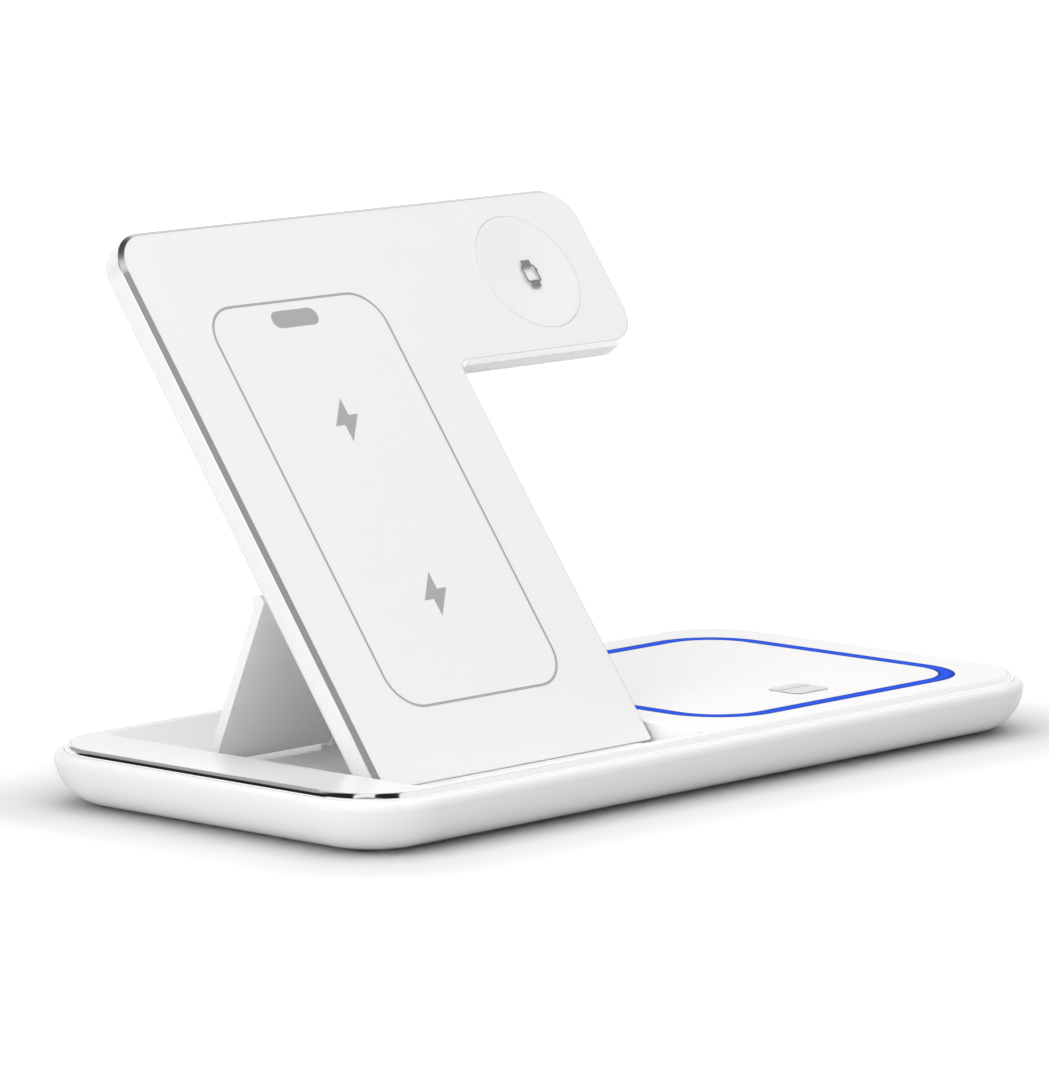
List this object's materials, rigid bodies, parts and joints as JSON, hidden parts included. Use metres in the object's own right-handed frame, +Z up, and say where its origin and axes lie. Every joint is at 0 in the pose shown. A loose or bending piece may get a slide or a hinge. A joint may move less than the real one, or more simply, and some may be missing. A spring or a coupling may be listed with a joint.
{
  "type": "three in one wireless charger",
  "caption": "Folding white wireless charging stand: tilted flag-shaped panel for phone and watch on a plate leg, over a flat base with a lit blue ring for an earbud case.",
  "frame": {"origin": "centre of the base on the table top", "axes": "+X along the base towards the light ring, +Y towards the back, +Z up"},
  "size_m": [0.19, 0.0913, 0.1022],
  "materials": {
    "white_gloss_plastic": "gloss",
    "white_matt_plastic": "matt",
    "polished_trim": "polished",
    "grey_metal_trim": "bevelled satin",
    "blue_light_guide": "lit blue",
    "copper_coil": "enamelled wire",
    "dark_ferrite": "matt",
    "green_board": "solder mask",
    "dark_component": "matt",
    "light_chip": "lens",
    "bright_steel": "plain",
    "pale_rubber": "soft"
  },
  "bodies": {
    "base": {"base_bottom_shell": "white_gloss_plastic", "base_top_cover": "white_gloss_plastic", "base_trim_ring": "polished_trim", "light_ring": "blue_light_guide", "light_strip": "green_board", "light_emitters": "light_chip", "earbud_coil": "copper_coil", "earbud_ferrite": "dark_ferrite", "base_circuit_board": "green_board", "base_board_parts": "dark_component", "power_socket": "bright_steel", "base_screws": "bright_steel", "rubber_feet": "pale_rubber", "leg_hinge_pin": "bright_steel"},
    "leg": {"support_leg": "white_gloss_plastic", "panel_hinge_pin": "bright_steel"},
    "panel": {"panel_front_cover": "white_matt_plastic", "panel_trim_ring": "grey_metal_trim", "panel_frame": "white_gloss_plastic", "panel_rear_cover": "white_gloss_plastic", "upper_phone_coil": "copper_coil", "lower_phone_coil": "copper_coil", "phone_ferrite": "dark_ferrite", "watch_disc": "white_matt_plastic", "watch_coil": "copper_coil", "watch_magnet": "bright_steel", "watch_ferrite": "dark_ferrite", "panel_circuit_board": "green_board", "panel_board_parts": "dark_component"}
  },
  "joints": [
    {"name": "leg_fold", "type": "hinge", "parent": "base", "child": "leg", "pos_m": [-0.0376, 0.01655, 0.0101], "axis": [1, 0, 0], "range_deg": [0, 67.49]},
    {"name": "panel_fold", "type": "hinge", "parent": "leg", "child": "panel", "pos_m": [-0.0376, 0.0047, 0.03873], "axis": [1, 0, 0], "range_deg": [-121.31, 0]}
  ],
  "couplings": [
    {"joint": "panel_fold", "follows": "leg_fold", "ratio": -1.7969}
  ]
}
